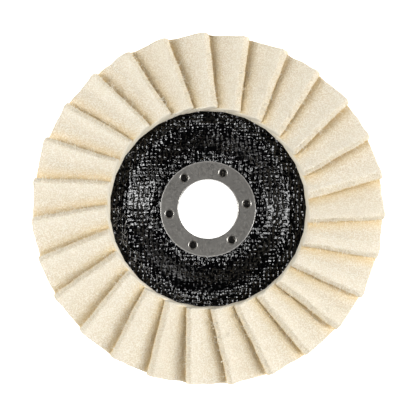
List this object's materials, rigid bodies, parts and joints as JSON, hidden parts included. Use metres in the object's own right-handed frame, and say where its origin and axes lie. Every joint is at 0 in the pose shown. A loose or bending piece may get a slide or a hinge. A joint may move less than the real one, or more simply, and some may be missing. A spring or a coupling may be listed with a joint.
{
  "type": "felt polishing flap disc",
  "caption": "Felt polishing flap disc for an angle grinder: tilted, overlapping felt flaps around a depressed-centre glass-cloth backing plate with a pressed steel bore ring.",
  "frame": {"origin": "centre of the bore, in the rear clamping face", "axes": "+Z along the bore from the machine side to the working side; +Y and +X across the wheel, any turn about Z being equivalent to a whole number of flaps"},
  "size_m": [0.1285, 0.1287, 0.0226],
  "materials": {
    "ring_steel": "matt grey, tumbled, with rounded pressed edges",
    "coated_cloth": "woven glass cloth under a glossy black resin coat",
    "glass_mesh": "dark resin with pale glass threads at the cut edge",
    "adhesive": "cured amber epoxy, slightly glossy",
    "felt": "pressed natural wool felt, cream, matt and faintly fibrous"
  },
  "bodies": {
    "root": {"flanged_bush": "ring_steel", "rear_ring": "ring_steel", "rear_cloth_ply": "coated_cloth", "rear_mesh_ply": "glass_mesh", "front_mesh_ply": "glass_mesh", "front_cloth_ply": "coated_cloth", "adhesive_bed": "adhesive", "felt_flap_01": "felt", "felt_flap_02": "felt", "felt_flap_03": "felt", "felt_flap_04": "felt", "felt_flap_05": "felt", "felt_flap_06": "felt", "felt_flap_07": "felt", "felt_flap_08": "felt", "felt_flap_09": "felt", "felt_flap_10": "felt", "felt_flap_11": "felt", "felt_flap_12": "felt", "felt_flap_13": "felt", "felt_flap_14": "felt", "felt_flap_15": "felt", "felt_flap_16": "felt", "felt_flap_17": "felt", "felt_flap_18": "felt", "felt_flap_19": "felt", "felt_flap_20": "felt", "felt_flap_21": "felt", "felt_flap_22": "felt", "felt_flap_23": "felt", "felt_flap_24": "felt", "felt_flap_25": "felt", "felt_flap_26": "felt", "felt_flap_27": "felt"}
  },
  "joints": []
}
